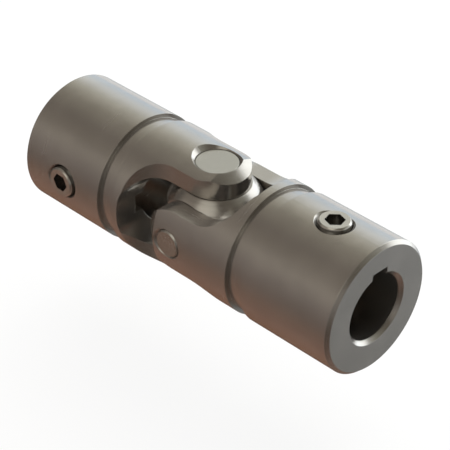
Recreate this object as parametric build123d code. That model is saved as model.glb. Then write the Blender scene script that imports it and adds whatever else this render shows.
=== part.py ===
import os
from math import cos, radians, sin, sqrt, tan
from build123d import *

# Pin-and-block universal joint that couples two shafts.
# Millimetres. +X is the shaft axis out of the right yoke, +Z is the large pin, +Y is the small pin.
# The origin is the point where both pin axes and both shaft axes cross.

# Hub of a yoke
outside_diameter = 31.75
overall_length = 95.25
bore_diameter = 15.875
end_chamfer = 0.8
bore_chamfer = 0.9
keyway_width = 4.7625
keyway_depth = 2.38
groove_position = 20.3
groove_width = 4.4
groove_depth = 1.0

# Fork of a yoke
fork_gap = 19.05
crotch_depth = 16.1
ear_width = 15.4
side_cut_radius = 10.4
crotch_corner_radius = 6.8
tip_cone_start = 4.2
tip_cone_angle = 37.5

# Centre block
block_bar_diameter = 22.3
block_turned_diameter = 24.8
block_hole_chamfer = 0.4

# Pins
large_pin_diameter = 10.1
large_pin_recess = 1.145
large_pin_chamfer = 0.2
large_pin_countersink = 1.1
small_pin_diameter = 6.7
small_pin_recess = 0.185
small_pin_chamfer = 0.35
small_pin_countersink = 0.65

# Set screws
screw_diameter = 7.94
screw_stand_out = 0.575
screw_from_end = 13.1
screw_top_diameter = 7.36
screw_top_length = 2.0
screw_top_chamfer = 0.37
screw_tip_chamfer = 1.0
screw_cup_diameter = 4.4
screw_cup_depth = 0.8
socket_width = 3.97
socket_depth = 3.2
socket_point_angle = 59.0
screw_countersink = 0.7
right_socket_angle = 43.6
left_socket_angle = -2.0

# Clearances and cutter travel
face_clearance = 0.075
turning_clearance = 0.05
seat_clearance = 0.01
screw_clearance = 0.03
keyway_clearance = 0.15
cutter_travel = 5.0

# Values worked out from the above
outside_radius = outside_diameter / 2
bore_radius = bore_diameter / 2
hub_end = overall_length / 2
ear_half_width = ear_width / 2
block_width = fork_gap - 2 * face_clearance
keyway_roof = sqrt(bore_radius**2 - (keyway_width / 2) ** 2) + keyway_depth
screw_position = hub_end - screw_from_end
screw_seat = keyway_roof + keyway_clearance
screw_top = outside_radius + screw_stand_out
large_pin_length = outside_diameter - 2 * large_pin_recess
small_pin_length = outside_diameter - 2 * small_pin_recess


def turned_blank():
    """A yoke as it leaves the lathe: tip cone, groove, chamfered end and the bore up to the fork."""
    tip_radius = outside_radius - (ear_half_width - tip_cone_start) * tan(radians(tip_cone_angle))
    groove_start = groove_position - groove_width / 2
    groove_end = groove_position + groove_width / 2
    groove_radius = outside_radius - groove_depth
    bore_start = crotch_depth - cutter_travel
    profile = Polyline(
        (-ear_half_width, 0),
        (-ear_half_width, tip_radius),
        (-tip_cone_start, outside_radius),
        (groove_start, outside_radius),
        (groove_start, groove_radius),
        (groove_end, groove_radius),
        (groove_end, outside_radius),
        (hub_end - end_chamfer, outside_radius),
        (hub_end, outside_radius - end_chamfer),
        (hub_end, bore_radius + bore_chamfer),
        (hub_end - bore_chamfer, bore_radius),
        (bore_start, bore_radius),
        (bore_start, 0),
        close=True,
    )
    return revolve(Plane.XZ * make_face(profile), Axis.X)


def side_cut_outline():
    """The yoke seen along its pin: round tip, straight ear, concave blend into the hub."""
    blend_start = crotch_depth - side_cut_radius
    shoulder = ear_half_width + side_cut_radius
    back = hub_end + cutter_travel
    turn = side_cut_radius * sin(radians(45))
    tip = ThreePointArc((0, -ear_half_width), (-ear_half_width, 0), (0, ear_half_width))
    upper_side = Line((0, ear_half_width), (blend_start, ear_half_width))
    upper_blend = ThreePointArc(
        (blend_start, ear_half_width),
        (blend_start + turn, shoulder - turn),
        (crotch_depth, shoulder),
    )
    hub = Polyline(
        (crotch_depth, shoulder),
        (back, shoulder),
        (back, -shoulder),
        (crotch_depth, -shoulder),
    )
    lower_blend = ThreePointArc(
        (crotch_depth, -shoulder),
        (blend_start + turn, turn - shoulder),
        (blend_start, -ear_half_width),
    )
    lower_side = Line((blend_start, -ear_half_width), (0, -ear_half_width))
    return make_face([tip, upper_side, upper_blend, hub, lower_blend, lower_side])


def countersunk_drill(hole_radius, surface, countersink):
    """Cutter along +Z that leaves a hole with a 45 degree countersink at the height of a surface."""
    top = surface + cutter_travel
    profile = Polyline(
        (0, 0),
        (hole_radius, 0),
        (hole_radius, surface - countersink),
        (hole_radius + countersink + cutter_travel, top),
        (0, top),
        close=True,
    )
    return revolve(Plane.XZ * make_face(profile), Axis.Z)


def yoke(pin_radius, pin_countersink):
    """Right-hand yoke: hub along +X, ears at +Y and -Y, keyway and set screw hole at +Z."""
    slot_length = crotch_depth + ear_half_width + cutter_travel
    slot = Box(slot_length, fork_gap, 2 * outside_diameter)
    slot = fillet(slot.edges().filter_by(Axis.Z).group_by(Axis.X)[-1], crotch_corner_radius)
    slot = Pos(crotch_depth - slot_length / 2, 0, 0) * slot
    sides = extrude(Plane.XZ * side_cut_outline(), outside_diameter, both=True)
    keyway_length = hub_end - crotch_depth + 2 * cutter_travel
    keyway = Box(keyway_length, keyway_width, keyway_roof)
    keyway = Pos((hub_end + crotch_depth) / 2, 0, keyway_roof / 2) * keyway
    pin_drill = countersunk_drill(pin_radius, outside_radius, pin_countersink)
    screw_radius = screw_diameter / 2 + screw_clearance
    screw_drill = countersunk_drill(screw_radius, outside_radius, screw_countersink)
    body = turned_blank() & sides
    body -= slot
    body -= keyway
    body -= Rot(90, 0, 0) * pin_drill
    body -= Rot(-90, 0, 0) * pin_drill
    body -= Pos(screw_position, 0, 0) * screw_drill
    return body


def center_block():
    """Block turned from round bar along Z, milled flat for the four ears and drilled both ways."""
    bar = Cylinder(block_bar_diameter / 2, block_width)
    turned = Sphere(block_turned_diameter / 2)
    flats = Box(block_bar_diameter, block_width, block_width)
    large_hole = large_pin_diameter / 2 + seat_clearance
    small_hole = small_pin_diameter / 2 + turning_clearance
    large_drill = countersunk_drill(large_hole, block_width / 2, block_hole_chamfer)
    small_drill = countersunk_drill(small_hole, block_width / 2, block_hole_chamfer)
    block = bar & turned & flats
    block -= large_drill
    block -= Rot(180, 0, 0) * large_drill
    block -= Rot(90, 0, 0) * small_drill
    block -= Rot(-90, 0, 0) * small_drill
    return block


def plain_pin(diameter, length, end_chamfer_size):
    """Round pin about Z with a chamfer at each end."""
    radius = diameter / 2
    half = length / 2
    profile = Polyline(
        (0, -half),
        (radius - end_chamfer_size, -half),
        (radius, end_chamfer_size - half),
        (radius, half - end_chamfer_size),
        (radius - end_chamfer_size, half),
        (0, half),
        close=True,
    )
    return revolve(Plane.XZ * make_face(profile), Axis.Z)


def large_pin():
    """Pin of the left yoke, cross-drilled so that the small pin passes through it."""
    pin = plain_pin(large_pin_diameter, large_pin_length, large_pin_chamfer)
    small_hole = small_pin_diameter / 2 + turning_clearance
    return pin - Rot(90, 0, 0) * Cylinder(small_hole, large_pin_diameter + cutter_travel)


def small_pin():
    """Pin of the right yoke, through its ears, the block and the large pin."""
    return Rot(90, 0, 0) * plain_pin(small_pin_diameter, small_pin_length, small_pin_chamfer)


def set_screw(socket_angle):
    """Cup-point socket set screw about Z with a turned-down top, at its height above the shaft."""
    radius = screw_diameter / 2
    top_radius = screw_top_diameter / 2
    cup_radius = screw_cup_diameter / 2
    profile = Polyline(
        (0, screw_seat + screw_cup_depth),
        (cup_radius, screw_seat),
        (radius - screw_tip_chamfer, screw_seat),
        (radius, screw_seat + screw_tip_chamfer),
        (radius, screw_top - screw_top_length),
        (top_radius, screw_top - screw_top_length),
        (top_radius, screw_top - screw_top_chamfer),
        (top_radius - screw_top_chamfer, screw_top),
        (0, screw_top),
        close=True,
    )
    screw = revolve(Plane.XZ * make_face(profile), Axis.Z)
    socket_radius = socket_width / 2 / cos(radians(30))
    hexagon = Rot(0, 0, socket_angle) * RegularPolygon(socket_radius, 6)
    socket = extrude(Pos(0, 0, screw_top - socket_depth) * hexagon, socket_depth + cutter_travel)
    point_radius = socket_width / 2
    point_height = point_radius / tan(radians(socket_point_angle))
    point = Cone(0, point_radius, point_height)
    point = Pos(0, 0, screw_top - socket_depth - point_height / 2) * point
    return screw - socket - point


right_yoke = yoke(small_pin_diameter / 2 + seat_clearance, small_pin_countersink)
left_yoke_turn = Rot(90, 0, 0) * Rot(0, 0, 180)
left_yoke = yoke(large_pin_diameter / 2 + turning_clearance, large_pin_countersink)

parts = {
    "left_yoke": left_yoke_turn * left_yoke,
    "right_yoke": right_yoke,
    "center_block": center_block(),
    "large_pin": large_pin(),
    "small_pin": small_pin(),
    "left_set_screw": left_yoke_turn * Pos(screw_position, 0, 0) * set_screw(left_socket_angle),
    "right_set_screw": Pos(screw_position, 0, 0) * set_screw(right_socket_angle),
}

os.makedirs("parts", exist_ok=True)
for node, shape in parts.items():
    export_step(shape, f"parts/{node}.step")
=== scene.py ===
# %% [markdown]
# # A pin-and-block universal joint
# Two forked hubs turn about two crossed pins in a small block. The solids come from CAD,
# packed as a fixed frame in metres: +X runs along the shafts, +Y along the small pin and
# +Z up the large pin. This lesson keeps every solid where it is and adds what makes it
# look like machined steel: finishes made from nodes, real screw threads, a camera and a
# plain studio. The frame has to be loaded before anything else is made.

# %% Load the frame
import math
import bmesh
import bpy
from mathutils import Matrix, Vector


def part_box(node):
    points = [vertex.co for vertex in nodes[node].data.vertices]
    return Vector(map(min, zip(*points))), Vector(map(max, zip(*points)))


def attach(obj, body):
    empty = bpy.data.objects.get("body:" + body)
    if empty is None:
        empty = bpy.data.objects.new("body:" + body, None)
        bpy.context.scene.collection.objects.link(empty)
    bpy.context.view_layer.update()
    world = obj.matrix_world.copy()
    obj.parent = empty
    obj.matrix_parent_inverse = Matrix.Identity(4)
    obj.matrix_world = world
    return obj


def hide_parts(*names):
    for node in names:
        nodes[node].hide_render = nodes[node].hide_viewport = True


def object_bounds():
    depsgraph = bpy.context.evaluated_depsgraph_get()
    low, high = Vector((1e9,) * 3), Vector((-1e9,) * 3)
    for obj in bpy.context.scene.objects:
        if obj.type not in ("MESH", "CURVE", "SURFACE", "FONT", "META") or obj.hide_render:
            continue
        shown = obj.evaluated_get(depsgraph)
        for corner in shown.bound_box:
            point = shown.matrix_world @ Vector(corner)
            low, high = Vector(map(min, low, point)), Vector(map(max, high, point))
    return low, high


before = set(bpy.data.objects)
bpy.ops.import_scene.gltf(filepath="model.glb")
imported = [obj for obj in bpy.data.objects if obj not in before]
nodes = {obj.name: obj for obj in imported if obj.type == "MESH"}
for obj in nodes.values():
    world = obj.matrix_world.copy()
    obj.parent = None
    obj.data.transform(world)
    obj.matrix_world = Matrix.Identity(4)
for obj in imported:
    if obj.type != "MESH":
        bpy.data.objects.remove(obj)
cad_box = [[float(c) for c in corner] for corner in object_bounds()]
print("nodes:", ", ".join(sorted(nodes)))
print("CAD box in mm:", [[round(c * 1000, 2) for c in corner] for corner in cad_box])

# %% [markdown]
# ## The camera
# The photograph looks down on the joint from the front right with a long lens, so the two
# hubs hardly taper. A camera can be placed by hand, but it is easier to repeat when it is
# worked out from an aim point, two angles and a distance. The small roll is the tilt of
# the picture itself.

# %% Camera at the photograph's angle
view_azimuth = math.radians(43.23)
view_elevation = math.radians(35.06)
view_roll = math.radians(1.72)
view_distance = 0.4026
aim = Vector((0.0023, 0.0006, -0.0016))

back = Vector((
    math.sin(view_azimuth) * math.cos(view_elevation),
    -math.cos(view_azimuth) * math.cos(view_elevation),
    math.sin(view_elevation),
))
camera_data = bpy.data.cameras.new("photo_camera")
camera_data.sensor_width = 36.0
camera_data.lens = 142.33
camera_data.clip_start = 0.01
camera = bpy.data.objects.new("photo_camera", camera_data)
camera.location = aim + view_distance * back
turn = back.to_track_quat("Z", "Y").to_matrix() @ Matrix.Rotation(view_roll, 3, "Z")
camera.rotation_euler = turn.to_euler()
bpy.context.scene.collection.objects.link(camera)
bpy.context.scene.camera = camera
print("camera in mm:", [round(c * 1000, 1) for c in camera.location])

# %% [markdown]
# ## Node helpers
# Every finish below is a small tree of shader nodes. Adding nodes and links by hand takes
# many lines, so a few helpers do it. The first adds a node and fills its inputs: inputs
# that are links are connected, and the rest are typed in as values.

# %% Helpers for node trees
def add_node(tree, kind, settings=None, **inputs):
    """Adds one node. settings are its own options, inputs are values or sockets by name."""
    node = tree.nodes.new(kind)
    for name, value in (settings or {}).items():
        setattr(node, name, value)
    for name, value in inputs.items():
        socket = node.inputs[name.replace("_", " ")]
        if isinstance(value, bpy.types.NodeSocket):
            tree.links.new(value, socket)
        else:
            socket.default_value = value
    return node


def math_node(tree, operation, *values):
    """Adds a Math node and returns its result."""
    node = tree.nodes.new("ShaderNodeMath")
    node.operation = operation
    for socket, value in zip(node.inputs, values):
        if isinstance(value, bpy.types.NodeSocket):
            tree.links.new(value, socket)
        else:
            socket.default_value = value
    return node.outputs[0]


def fade(tree, value, start, end):
    """Goes smoothly from 0 at start to 1 at end."""
    node = add_node(
        tree, "ShaderNodeMapRange", {"interpolation_type": "SMOOTHSTEP"},
        Value=value, From_Min=start, From_Max=end, To_Min=0.0, To_Max=1.0)
    return node.outputs["Result"]


def mix_colours(tree, share, first, second, blend_type="MIX"):
    """Mixes two colours by a share, or adds that share of the second to the first."""
    node = tree.nodes.new("ShaderNodeMix")
    node.data_type = "RGBA"
    node.blend_type = blend_type
    node.clamp_result = False
    for index, value in ((0, share), (6, first), (7, second)):
        if isinstance(value, bpy.types.NodeSocket):
            tree.links.new(value, node.inputs[index])
        else:
            node.inputs[index].default_value = value
    return node.outputs[2]


def ramp(tree, place, stops):
    """A Color Ramp filled from a list of (position, (red, green, blue)) stops."""
    node = add_node(tree, "ShaderNodeValToRGB", Fac=place)
    elements = node.color_ramp.elements
    elements.remove(elements[-1])
    elements[0].position = stops[0][0]
    elements[0].color = (*stops[0][1], 1.0)
    for position, colour in stops[1:]:
        elements.new(position).color = (*colour, 1.0)
    return node.outputs["Color"]


print("helpers ready")

# %% [markdown]
# ## The studio room
# Satin steel has almost no colour of its own: it shows the room around it, blurred. So
# the room matters more than the lamp. Here the world is a soft band of tones that runs
# round the shaft axis: bluish white behind, cream a little higher, taupe overhead and in
# front, and a warm brown below. The angle round X comes from a radial Gradient Texture,
# and a Color Ramp turns that angle into a tone. The right half of the room is darker, so
# it has a ramp of its own, and the direction's X blends the two.

# %% World: the two bands of tones
world = bpy.data.worlds.new("studio_room")
bpy.context.scene.world = world
world.use_nodes = True
room = world.node_tree
room.nodes.clear()


def room_stop(angle, red, green, blue):
    """A tone of the room at an angle round the shaft axis: 0 is behind, 90 is above."""
    return (angle / 360 + 0.5, (red, green, blue))


left_band = [
    room_stop(-180, 0.28, 0.245, 0.225),
    room_stop(-155, 0.20, 0.155, 0.135),
    room_stop(-130, 0.25, 0.155, 0.115),
    room_stop(-100, 0.31, 0.175, 0.13),
    room_stop(-76, 0.26, 0.135, 0.085),
    room_stop(-56, 0.16, 0.095, 0.07),
    room_stop(-42, 0.24, 0.215, 0.20),
    room_stop(-26, 0.47, 0.54, 0.60),
    room_stop(-5, 0.72, 0.92, 1.14),
    room_stop(25, 1.06, 1.13, 1.15),
    room_stop(50, 0.66, 0.66, 0.575),
    room_stop(74, 0.325, 0.305, 0.25),
    room_stop(110, 0.205, 0.178, 0.153),
    room_stop(132, 0.265, 0.235, 0.20),
    room_stop(155, 0.40, 0.365, 0.325),
    room_stop(180, 0.28, 0.245, 0.225),
]
right_band = [
    room_stop(-180, 0.22, 0.21, 0.20),
    room_stop(-155, 0.12, 0.10, 0.085),
    room_stop(-132, 0.09, 0.06, 0.045),
    room_stop(-105, 0.17, 0.10, 0.075),
    room_stop(-75, 0.24, 0.17, 0.14),
    room_stop(-50, 0.25, 0.26, 0.26),
    room_stop(-20, 0.60, 0.64, 0.68),
    room_stop(20, 0.62, 0.64, 0.62),
    room_stop(48, 0.29, 0.29, 0.245),
    room_stop(85, 0.13, 0.115, 0.09),
    room_stop(115, 0.13, 0.115, 0.095),
    room_stop(150, 0.32, 0.30, 0.27),
    room_stop(180, 0.22, 0.21, 0.20),
]
direction = add_node(room, "ShaderNodeTexCoord").outputs["Generated"]
split = add_node(room, "ShaderNodeSeparateXYZ", Vector=direction)
sideways, behind, upward = (split.outputs[axis] for axis in "XYZ")
around = add_node(room, "ShaderNodeCombineXYZ", X=behind, Y=upward)
angle = add_node(
    room, "ShaderNodeTexGradient", {"gradient_type": "RADIAL"}, Vector=around.outputs[0])
left_tone = ramp(room, angle.outputs["Fac"], left_band)
right_tone = ramp(room, angle.outputs["Fac"], right_band)
all_left, all_right = -0.45, 0.50
tones = mix_colours(room, fade(room, sideways, all_left, all_right), left_tone, right_tone)
print("tones on the left:", len(left_band))
print("tones on the right:", len(right_band))

# %% [markdown]
# ## The windows
# A tall window of soft light stands behind the joint. It gives the chamfers, the
# countersinks and the shoulder of the block their clean white glints. It is an ellipse in
# the direction's X and Z, bright in its middle and soft at its edge. A smaller and dimmer
# one, high in front, lights the front of the block and the rims round the small pin. It
# is a round patch: the Dot Product of the direction with the window's middle falls away
# from 1 as the direction turns from it. Far out to the left the room falls dark. Each
# pair of values below says where a fade starts and where it ends.

# %% World: windows, dark end and output
window_middle_x, window_middle_z = 0.08, 0.16
window_half_width, window_half_height = 0.45, 0.69
window_edge = (1.05, 0.68)
window_light = (1.6, 1.7, 1.75, 1.0)
front_middle = Vector((0.20, -0.70, 0.69)).normalized()
front_edge = (0.885, 0.975)
front_light = (0.62, 0.62, 0.56, 1.0)
dark_end = (-0.72, -0.90)
dark_tone = (0.11, 0.10, 0.09, 1.0)

from_middle_x = math_node(room, "SUBTRACT", sideways, window_middle_x)
from_middle_z = math_node(room, "SUBTRACT", upward, window_middle_z)
window_place = add_node(
    room, "ShaderNodeCombineXYZ",
    X=math_node(room, "MULTIPLY", from_middle_x, 1 / window_half_width),
    Y=math_node(room, "MULTIPLY", from_middle_z, 1 / window_half_height))
window_distance = add_node(
    room, "ShaderNodeVectorMath", {"operation": "LENGTH"}, Vector=window_place.outputs[0])
window_share = math_node(
    room, "MULTIPLY",
    fade(room, window_distance.outputs["Value"], *window_edge),
    math_node(room, "GREATER_THAN", behind, 0.0))
tones = mix_colours(room, window_share, tones, window_light, "ADD")
front_window = add_node(room, "ShaderNodeVectorMath", {"operation": "DOT_PRODUCT"})
room.links.new(direction, front_window.inputs[0])
front_window.inputs[1].default_value = front_middle
front_share = fade(room, front_window.outputs["Value"], *front_edge)
tones = mix_colours(room, front_share, tones, front_light, "ADD")
tones = mix_colours(room, fade(room, sideways, *dark_end), tones, dark_tone)
glow = add_node(room, "ShaderNodeBackground", Color=tones, Strength=1.0)
add_node(room, "ShaderNodeOutputWorld", Surface=glow.outputs[0])
print("world nodes:", len(room.nodes))

# %% [markdown]
# ## The floor
# The floor is a plain pale sheet. It lies so low that a hub can swing down to its limit
# without dipping into it, so its height is worked out from the CAD box and that swing.

# %% Floor sheet
floor_size = 3.0
floor_gap = 0.0005
hub_swing = math.radians(35)
hub_end, hub_radius = cad_box[1][0], cad_box[1][1]
floor_z = -(hub_end * math.sin(hub_swing) + hub_radius * math.cos(hub_swing)) - floor_gap
floor_mesh = bpy.data.meshes.new("studio_floor")
sheet = bmesh.new()
bmesh.ops.create_grid(sheet, x_segments=1, y_segments=1, size=floor_size / 2)
bmesh.ops.translate(sheet, verts=sheet.verts, vec=(0, 0, floor_z))
sheet.to_mesh(floor_mesh)
sheet.free()
floor = bpy.data.objects.new("studio_floor", floor_mesh)
bpy.context.scene.collection.objects.link(floor)
print("floor at z =", round(floor_z * 1000, 2), "mm")

# %% [markdown]
# ## The floor's white
# A lamp bright enough to make the sheet pure white would burn out the steel. So for the
# camera most of its white is a glow of strength 1, found with Light Path's Is Camera Ray,
# and the rest is ordinary paint that still takes the joint's soft shadow. Behind the
# joint, glossy and transmission rays see the same white. In front of it and past its
# right end the photograph's steel shows warm brown and grey tones, so there the white
# fades out and those rays pass on to the room.

# %% Floor paper
floor_paint = (0.95, 0.95, 0.95, 1.0)
floor_white = (1.0, 1.0, 1.0, 1.0)
white_part = 0.85
front_fade = (0.210, 0.065)
right_fade = (0.030, 0.050)

paper = bpy.data.materials.new("pale_floor")
paper.use_nodes = True
tree = paper.node_tree
tree.nodes.clear()
rays = add_node(tree, "ShaderNodeLightPath").outputs
floor_coordinates = add_node(tree, "ShaderNodeTexCoord").outputs["Object"]
floor_place = add_node(tree, "ShaderNodeSeparateXYZ", Vector=floor_coordinates)
paint = add_node(tree, "ShaderNodeBsdfDiffuse", Color=floor_paint)
white = add_node(tree, "ShaderNodeEmission", Color=floor_white, Strength=1.0)
clear = add_node(tree, "ShaderNodeBsdfTransparent")
mirrored = math_node(tree, "MAXIMUM", rays["Is Glossy Ray"], rays["Is Transmission Ray"])
white_rays = math_node(tree, "MAXIMUM", rays["Is Camera Ray"], mirrored)
white_share = math_node(tree, "MULTIPLY", white_rays, white_part)
seen = add_node(tree, "ShaderNodeMixShader", Fac=white_share)
tree.links.new(paint.outputs[0], seen.inputs[1])
tree.links.new(white.outputs[0], seen.inputs[2])
in_front = fade(tree, floor_place.outputs["Y"], *front_fade)
past_end = fade(tree, floor_place.outputs["X"], *right_fade)
room_shown = math_node(tree, "MULTIPLY", mirrored, math_node(tree, "MAXIMUM", in_front, past_end))
surface = add_node(tree, "ShaderNodeMixShader", Fac=room_shown)
tree.links.new(seen.outputs[0], surface.inputs[1])
tree.links.new(clear.outputs[0], surface.inputs[2])
add_node(tree, "ShaderNodeOutputMaterial", Surface=surface.outputs[0])
floor_mesh.materials.append(paper)
print("floor paper nodes:", len(tree.nodes))

# %% [markdown]
# ## The lamp
# One large soft lamp above and behind gives the floor its light and the joint its shadow.

# %% Lamp
lamp_data = bpy.data.lights.new("soft_lamp", "AREA")
lamp_data.shape = "DISK"
lamp_data.size = 1.2
lamp_data.energy = 9.0
lamp = bpy.data.objects.new("soft_lamp", lamp_data)
lamp.location = (-0.15, 0.35, 0.75)
lamp.rotation_euler = Vector(lamp.location).to_track_quat("Z", "Y").to_euler()
lamp.visible_glossy = False
bpy.context.scene.collection.objects.link(lamp)
bpy.context.scene.view_settings.view_transform = "Standard"
print("lamp of", lamp_data.energy, "W")

# %% [markdown]
# ## Set screws with real threads
# Each hub is clamped by a hex-socket set screw. In CAD its shank is plain, because a fine
# thread costs many faces there. Here it gets a 60 degree V thread of 18 turns to the inch.
# A bump alone would leave its outline smooth. So a V outline is spun upwards round the
# screw as a cutter, and a Boolean takes it out of a merged copy of the CAD screw. Near the
# end the cutter moves outwards over half a turn until it has left the shank, so the
# thread runs out under the plain top.

# %% The thread's size and cutter
thread_pitch = 0.0254 / 18
thread_depth = 0.6134 * thread_pitch
crest_radius = 0.00794 / 2
root_radius = crest_radius - thread_depth
root_half_width = thread_pitch / 12
flank_angle = math.radians(30)
cutter_stand_out = 0.00005
run_out_length = 0.5 * thread_pitch
run_out_growth = 0.35
plain_top = 0.0027
thread_steps = 40


def thread_cutter(bottom, top):
    """A V outline spun up the Z axis from bottom to top, moving outwards near the top."""
    reach = crest_radius + cutter_stand_out
    rim_half_width = root_half_width + (reach - root_radius) * math.tan(flank_angle)
    turns = math.ceil((top - bottom) / thread_pitch)
    mesh = bmesh.new()
    corners = [
        mesh.verts.new((root_radius, 0, bottom - root_half_width)),
        mesh.verts.new((reach, 0, bottom - rim_half_width)),
        mesh.verts.new((reach, 0, bottom + rim_half_width)),
        mesh.verts.new((root_radius, 0, bottom + root_half_width)),
    ]
    outline = mesh.faces.new(corners)
    bmesh.ops.spin(
        mesh, geom=[outline, *outline.edges, *outline.verts], cent=(0, 0, 0), axis=(0, 0, 1),
        dvec=(0, 0, thread_pitch / thread_steps), angle=2 * math.pi * turns,
        steps=thread_steps * turns, use_merge=False, use_duplicate=False)
    for vert in mesh.verts:
        run_out = max(0.0, (vert.co.z - (top - run_out_length)) / run_out_length)
        grown = 1 + run_out_growth * min(run_out, 1.0)
        vert.co.x *= grown
        vert.co.y *= grown
    bmesh.ops.recalc_face_normals(mesh, faces=mesh.faces)
    return mesh


print("thread pitch", round(thread_pitch * 1000, 3), "mm")
print("thread depth", round(thread_depth * 1000, 3), "mm")

# %% [markdown]
# ## Cutting the thread
# The cutter is made upright at the origin and then carried onto each screw: the right
# screw points up, the left one points to the front. The Boolean is a modifier whose
# result is kept as a plain mesh, so nothing live is left on the piece. A Boolean leaves
# some points a hair apart, with slivers between them, and merging those points closes the
# mesh cleanly. Faces that meet at more than 25 degrees keep a sharp edge between them.

# %% Threaded set screws
cutter_lead_in = 1.5 * thread_pitch
same_point = 0.000001
sliver_width = 0.000002
sharp_angle = math.radians(25)


def object_from(mesh, name):
    """Turns a bmesh into an object at the origin."""
    data = bpy.data.meshes.new(name)
    mesh.to_mesh(data)
    mesh.free()
    piece = bpy.data.objects.new(name, data)
    bpy.context.scene.collection.objects.link(piece)
    return piece


def merge_points(data, distance):
    """Merges the points of a mesh that lie closer together than a distance."""
    mesh = bmesh.new()
    mesh.from_mesh(data)
    bmesh.ops.remove_doubles(mesh, verts=mesh.verts, dist=distance)
    mesh.to_mesh(data)
    mesh.free()


def threaded_screw(node_name, body, turned_to):
    """A copy of a CAD set screw with its thread cut; turned_to carries +Z onto its axis."""
    low, high = (Vector(corner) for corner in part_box(node_name))
    axis = turned_to.to_3x3() @ Vector((0, 0, 1))
    length = abs((high - low).dot(axis))
    place = Matrix.Translation((low + high) / 2) @ turned_to
    cutter_mesh = thread_cutter(-length / 2 - cutter_lead_in, length / 2 - plain_top)
    bmesh.ops.transform(cutter_mesh, matrix=place, verts=cutter_mesh.verts)
    cutter = object_from(cutter_mesh, node_name + "_cutter")
    shank_mesh = bmesh.new()
    shank_mesh.from_mesh(nodes[node_name].data)
    bmesh.ops.remove_doubles(shank_mesh, verts=shank_mesh.verts, dist=same_point)
    shank = object_from(shank_mesh, node_name + "_threaded")
    cut = shank.modifiers.new("thread", "BOOLEAN")
    cut.operation = "DIFFERENCE"
    cut.solver = "EXACT"
    cut.object = cutter
    ready = shank.evaluated_get(bpy.context.evaluated_depsgraph_get())
    threaded = bpy.data.meshes.new_from_object(ready)
    shank.modifiers.clear()
    shank.data = threaded
    bpy.data.objects.remove(cutter)
    merge_points(threaded, sliver_width)
    threaded.materials.clear()
    for face in threaded.polygons:
        face.use_smooth = True
    threaded.set_sharp_from_angle(angle=sharp_angle)
    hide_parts(node_name)
    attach(shank, body)
    print(node_name, "has", len(threaded.polygons), "faces")
    print(node_name, "is", round(length * 1000, 2), "mm long")
    return shank


upright = Matrix.Identity(4)
to_the_front = Matrix.Rotation(math.radians(90), 4, "X")
right_screw = threaded_screw("right_set_screw", "right_screw", upright)
left_screw = threaded_screw("left_set_screw", "left_screw", to_the_front)

# %% [markdown]
# ## Which cutter touched the surface
# A lathe leaves fine rings round its axis, and a milling cutter leaves fine straight
# lines. A forked hub has both: its outside, end face, groove, tip cone and bore are
# turned, while the slot and the side cuts are milled. One material can tell them apart.
# On a turned surface the normal leans away from the shaft axis, and the bore and the end
# face are known by where they are. Object coordinates and object-space normals do not
# change when the joint bends, so the pattern stays put.

# %% Rings, lines and masks
outward_lean = (0.60, 0.72)
cheek_lean = (0.6, 0.8)
turned_bore = (0.0084, 0.0082)
turned_end = (0.0460, 0.0464)


def radius_from(tree, parts, axis):
    """Distance from one axis through the origin, from separated coordinates."""
    first, second = (parts.outputs[other] for other in "XYZ" if other != axis)
    squares = [math_node(tree, "MULTIPLY", part, part) for part in (first, second)]
    return math_node(tree, "SQRT", math_node(tree, "ADD", *squares))


def stripes(tree, path, pitch):
    """Uneven stripes along a path: noise of one dimension, about one stripe to a pitch."""
    steps = math_node(tree, "MULTIPLY", path, 1 / pitch)
    noise = add_node(tree, "ShaderNodeTexNoise", {"noise_dimensions": "1D"},
                     W=steps, Scale=1.0, Detail=2.0, Roughness=0.5)
    return noise.outputs["Fac"]


def lathe_rings(tree, parts, axis, pitch, along=1.0):
    """Rings round an axis: stripes of the place along it plus the distance from it."""
    place_along = math_node(tree, "MULTIPLY", parts.outputs[axis], along)
    path = math_node(tree, "ADD", place_along, radius_from(tree, parts, axis))
    return stripes(tree, path, pitch)


def mill_lines(tree, parts, normal_parts, ear_axis, pitch):
    """Fine straight lines: across the cheeks of the slot, and level round the side cuts."""
    cross_axis = "Y" if ear_axis == "Z" else "Z"
    cheek = fade(tree, math_node(tree, "ABSOLUTE", normal_parts.outputs[ear_axis]), *cheek_lean)
    path = add_node(tree, "ShaderNodeMix", {"data_type": "FLOAT"}, Factor=cheek)
    tree.links.new(parts.outputs[ear_axis], path.inputs[2])
    tree.links.new(parts.outputs[cross_axis], path.inputs[3])
    return stripes(tree, path.outputs[0], pitch)


def turned_share(tree, parts, normal_parts):
    """1 where a hub was turned and 0 where it was milled."""
    radius = radius_from(tree, parts, "X")
    products = [math_node(tree, "MULTIPLY", parts.outputs[axis], normal_parts.outputs[axis])
                for axis in "YZ"]
    lean = math_node(tree, "DIVIDE", math_node(tree, "ADD", *products), radius)
    outside = fade(tree, lean, *outward_lean)
    bore = fade(tree, radius, *turned_bore)
    end_face = fade(tree, math_node(tree, "ABSOLUTE", parts.outputs["X"]), *turned_end)
    return math_node(tree, "MAXIMUM", outside, math_node(tree, "MAXIMUM", bore, end_face))


print("patterns ready")

# %% [markdown]
# ## Machined steel
# The same base serves every piece: bare steel, a little warm, with a satin gloss. The
# cutter's pattern moves its roughness a little and, through a Bump node, its surface by
# at most about a hundredth of a millimetre. A slow noise adds the cloudy change that
# handling and oil leave. These small functions serve all of that.

# %% Small functions for the finish
def shade(colour, factor):
    """A colour made lighter or darker by a factor, with its alpha."""
    return (*(factor * part for part in colour), 1.0)


def noise_of(tree, place, scale, detail):
    """Soft noise of a place, finer where the scale is larger."""
    node = add_node(
        tree, "ShaderNodeTexNoise", Vector=place, Scale=scale, Detail=detail, Roughness=0.6)
    return node.outputs["Fac"]


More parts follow.
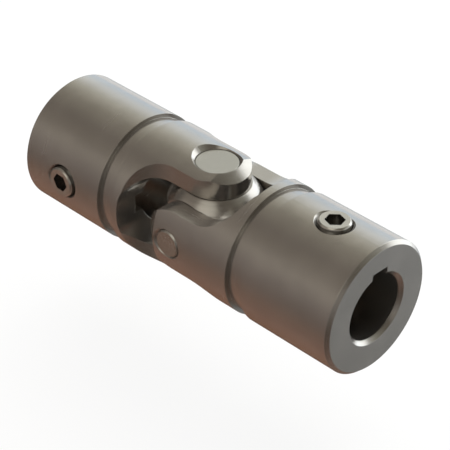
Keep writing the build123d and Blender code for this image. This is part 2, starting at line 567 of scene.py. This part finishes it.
def swing(tree, value, amount):
    """Turns a value from 0 to 1 into one that swings evenly round 0 by an amount in all."""
    return math_node(tree, "MULTIPLY", math_node(tree, "SUBTRACT", value, 0.5), amount)


def give(material, mesh):
    """Puts a material on a mesh, in place of what it had."""
    mesh.materials.clear()
    mesh.materials.append(material)


print("small functions ready")

# %% [markdown]
# ## Edges, corners and the whole finish
# Edges are broken: the Bevel node rounds the shading there, and where its normal differs
# from the true one, the steel is painted paler and made smoother, partly rubbed wear and
# partly a painted highlight. Tight corners, which Ambient Occlusion finds, are painted
# darker: painted shade. Metallic is a little under 1, because the film of oil and oxide
# scatters some light of its own, and without it the deep places would be black.

# %% Steel finish
# The first colour paints the edges paler, partly rubbed wear and partly a painted highlight. The
# second is painted shade for tight corners.
edge_wear_and_highlight_colour = (0.66, 0.64, 0.60, 1.0)
corner_shade_colour = (0.16, 0.15, 0.14, 1.0)
edge_match = (0.995, 0.90)
corner_openness = (0.60, 0.10)
corner_reach = 0.0012
cloud_scale, grain_scale = 110.0, 3200.0
cloud_edges = (0.35, 0.70)
cloud_tint = 0.05
mark_gloss, cloud_gloss, edge_gloss = 0.14, 0.12, 0.05
edge_wear_and_highlight_strength, corner_shade_strength = 0.5, 0.5
grain_height = 0.12
bare_metal = 0.90


# The default darker colour is the painted shade of the bores.
def steel_finish(name, colour, roughness, pattern, pattern_height=0.0000025, edge_radius=0.00012,
                 shade_or_skin=None, shade_or_skin_colour=(0.36, 0.34, 0.31)):
    """Bare machined steel. pattern gives the cutter's marks, and dark mixes in a darker steel:
    painted shade in a bore, or a screw's black skin.
    """
    material = bpy.data.materials.new(name)
    material.use_nodes = True
    tree = material.node_tree
    tree.nodes.clear()
    coordinates = add_node(tree, "ShaderNodeTexCoord")
    place = coordinates.outputs["Object"]
    parts = add_node(tree, "ShaderNodeSeparateXYZ", Vector=place)
    normal_parts = add_node(tree, "ShaderNodeSeparateXYZ", Vector=coordinates.outputs["Normal"])
    marks = pattern(tree, parts, normal_parts)
    cloud = noise_of(tree, place, cloud_scale, 4.0)
    grain = noise_of(tree, place, grain_scale, 2.0)

    worn = add_node(tree, "ShaderNodeBevel", {"samples": 6}, Radius=edge_radius)
    true_normal = add_node(tree, "ShaderNodeNewGeometry").outputs["Normal"]
    match = add_node(tree, "ShaderNodeVectorMath", {"operation": "DOT_PRODUCT"})
    tree.links.new(worn.outputs[0], match.inputs[0])
    tree.links.new(true_normal, match.inputs[1])
    edge = fade(tree, match.outputs["Value"], *edge_match)
    # Ambient Occlusion finds the tight corners, where the painted shade goes.
    corners = add_node(
        tree, "ShaderNodeAmbientOcclusion", {"samples": 8}, Distance=corner_reach)
    corner_shade = fade(tree, corners.outputs["AO"], *corner_openness)

    mark_part = swing(tree, marks, mark_gloss)
    cloud_part = swing(tree, cloud, cloud_gloss)
    gloss = math_node(tree, "ADD", math_node(tree, "ADD", mark_part, cloud_part), roughness)
    gloss = math_node(tree, "SUBTRACT", gloss, math_node(tree, "MULTIPLY", edge, edge_gloss))
    tint = fade(tree, cloud, *cloud_edges)
    steel_colour = mix_colours(
        tree, tint, shade(colour, 1 - cloud_tint), shade(colour, 1 + cloud_tint))
    # The edges are painted paler: partly rubbed wear, partly a painted highlight.
    edge_wear_and_highlight_share = math_node(tree, "MULTIPLY", edge, edge_wear_and_highlight_strength)
    steel_colour = mix_colours(tree, edge_wear_and_highlight_share, steel_colour, edge_wear_and_highlight_colour)
    # Painted shade darkens the tight corners.
    corner_shade_share = math_node(tree, "MULTIPLY", corner_shade, corner_shade_strength)
    steel_colour = mix_colours(tree, corner_shade_share, steel_colour, corner_shade_colour)
    # Bores get painted shade here, and screws their black skin.
    if shade_or_skin:
        steel_colour = mix_colours(tree, shade_or_skin(tree, parts), steel_colour, (*shade_or_skin_colour, 1.0))
    height = math_node(tree, "ADD", marks, math_node(tree, "MULTIPLY", grain, grain_height))
    bump = add_node(
        tree, "ShaderNodeBump", Height=height, Distance=pattern_height, Normal=worn.outputs[0])
    steel = add_node(
        tree, "ShaderNodeBsdfPrincipled", Metallic=bare_metal, Roughness=gloss,
        Base_Color=steel_colour, Normal=bump.outputs[0])
    add_node(tree, "ShaderNodeOutputMaterial", Surface=steel.outputs[0])
    return material


print("steel finish ready")

# %% [markdown]
# ## The hubs
# The hubs differ only in their pin holes, but one is turned a quarter round against the
# other, so its milled lines run another way. Each gets its own copy of the finish, with
# the ears' axis named. The bore and its keyway get painted shade: a darker steel is mixed
# in there by the distance from the shaft axis and along it.

# %% Hub finish
hub_colour = (0.465, 0.435, 0.40)
hub_roughness = 0.22
ring_pitch = 0.00045
line_pitch = 0.00030
# Where the bore's painted shade starts and stops.
bore_wall = (0.0110, 0.0106)
bore_start = (0.0163, 0.0166)
bore_end = (0.0471, 0.0467)


def hub_pattern(ear_axis):
    """Rings where the hub was turned, lines where it was milled."""
    def marks(tree, parts, normal_parts):
        rings = lathe_rings(tree, parts, "X", ring_pitch)
        lines = mill_lines(tree, parts, normal_parts, ear_axis, line_pitch)
        turned = turned_share(tree, parts, normal_parts)
        both = add_node(tree, "ShaderNodeMix", {"data_type": "FLOAT"}, Factor=turned)
        tree.links.new(lines, both.inputs[2])
        tree.links.new(rings, both.inputs[3])
        return both.outputs[0]
    return marks


def bore_shade_share(tree, parts):
    """The share of painted shade: 1 inside the bore and the keyway, 0 elsewhere."""
    inside = fade(tree, radius_from(tree, parts, "X"), *bore_wall)
    along = math_node(tree, "ABSOLUTE", parts.outputs["X"])
    past_start = fade(tree, along, *bore_start)
    before_end = fade(tree, along, *bore_end)
    return math_node(tree, "MULTIPLY", inside, math_node(tree, "MULTIPLY", past_start, before_end))


for node_name, ear_axis in (("left_yoke", "Z"), ("right_yoke", "Y")):
    hub_steel = steel_finish(
        node_name + "_steel", hub_colour, hub_roughness, hub_pattern(ear_axis), shade_or_skin=bore_shade_share)
    give(hub_steel, nodes[node_name].data)
    print(node_name, "has", len(hub_steel.node_tree.nodes), "nodes in its finish")

# %% [markdown]
# ## The block and the pins
# The block is turned round the large pin's axis and bored across. Its shoulder is round,
# so its rings count the height twice: otherwise height and distance would cancel out
# where the shoulder slopes at 45 degrees. The pins are ground round their own axes, finer
# than the hubs, and their ends are faced.

# %% Block and pin finishes
block_ring_pitch, block_ring_height = 0.00065, 0.0000280
pin_colour = (0.475, 0.455, 0.415)
pin_roughness = 0.24
pin_ring_pitch, pin_ring_height = 0.00008, 0.0000005


def centred(tree, parts, centre):
    """Coordinates counted from another centre."""
    moved = add_node(tree, "ShaderNodeCombineXYZ")
    for name, middle in zip("XYZ", centre):
        tree.links.new(math_node(tree, "SUBTRACT", parts.outputs[name], middle), moved.inputs[name])
    return add_node(tree, "ShaderNodeSeparateXYZ", Vector=moved.outputs[0])


def ringed(axis, pitch, centre=(0, 0, 0), along=1.0):
    """Rings round one axis, through the origin or through a given centre."""
    def marks(tree, parts, normal_parts):
        return lathe_rings(tree, centred(tree, parts, centre), axis, pitch, along)
    return marks


block_rings = ringed("Z", block_ring_pitch, along=2.0)
block_steel = steel_finish("block_steel", hub_colour, hub_roughness, block_rings, block_ring_height)
give(block_steel, nodes["center_block"].data)
print("finish:", block_steel.name)

for node_name, axis in (("large_pin", "Z"), ("small_pin", "Y")):
    pin_rings = ringed(axis, pin_ring_pitch)
    pin_steel = steel_finish(
        node_name + "_steel", pin_colour, pin_roughness, pin_rings, pin_ring_height)
    give(pin_steel, nodes[node_name].data)
    print("finish:", pin_steel.name)

# %% [markdown]
# ## The screws
# The screws are bright only on their machined tops. The forged socket and the rolled
# shank keep a black skin, which is found by the depth below the top and by the distance
# from the screw's own axis.

# %% Screw finishes
screw_colour = (0.55, 0.52, 0.475)
screw_black = (0.14, 0.13, 0.115)
screw_roughness = 0.22
screw_ring_pitch, screw_ring_height = 0.00025, 0.0000020
screw_edge_radius = 0.00006
socket_wall = (0.00236, 0.00231)
socket_rim_depth = (0.00006, 0.00014)
bright_top_depth = (0.00038, 0.00046)


def black_share(axis, top, centre):
    """1 in the hex socket of a screw and on its shank, 0 on the machined ring and chamfer."""
    def share(tree, parts):
        inside = fade(tree, radius_from(tree, centred(tree, parts, centre), axis), *socket_wall)
        depth = math_node(tree, "SUBTRACT", top, math_node(tree, "ABSOLUTE", parts.outputs[axis]))
        socket = math_node(tree, "MULTIPLY", inside, fade(tree, depth, *socket_rim_depth))
        return math_node(tree, "MAXIMUM", socket, fade(tree, depth, *bright_top_depth))
    return share


screw_x = sum(corner[0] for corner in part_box("right_set_screw")) / 2
screw_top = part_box("right_set_screw")[1][2]
for name, axis, piece, centre in (("right_screw_steel", "Z", right_screw, (screw_x, 0, 0)),
                                  ("left_screw_steel", "Y", left_screw, (-screw_x, 0, 0))):
    screw_steel = steel_finish(
        name, screw_colour, screw_roughness, ringed(axis, screw_ring_pitch, centre),
        screw_ring_height, screw_edge_radius, black_share(axis, screw_top, centre), screw_black)
    give(screw_steel, piece.data)
    print("finish:", screw_steel.name)
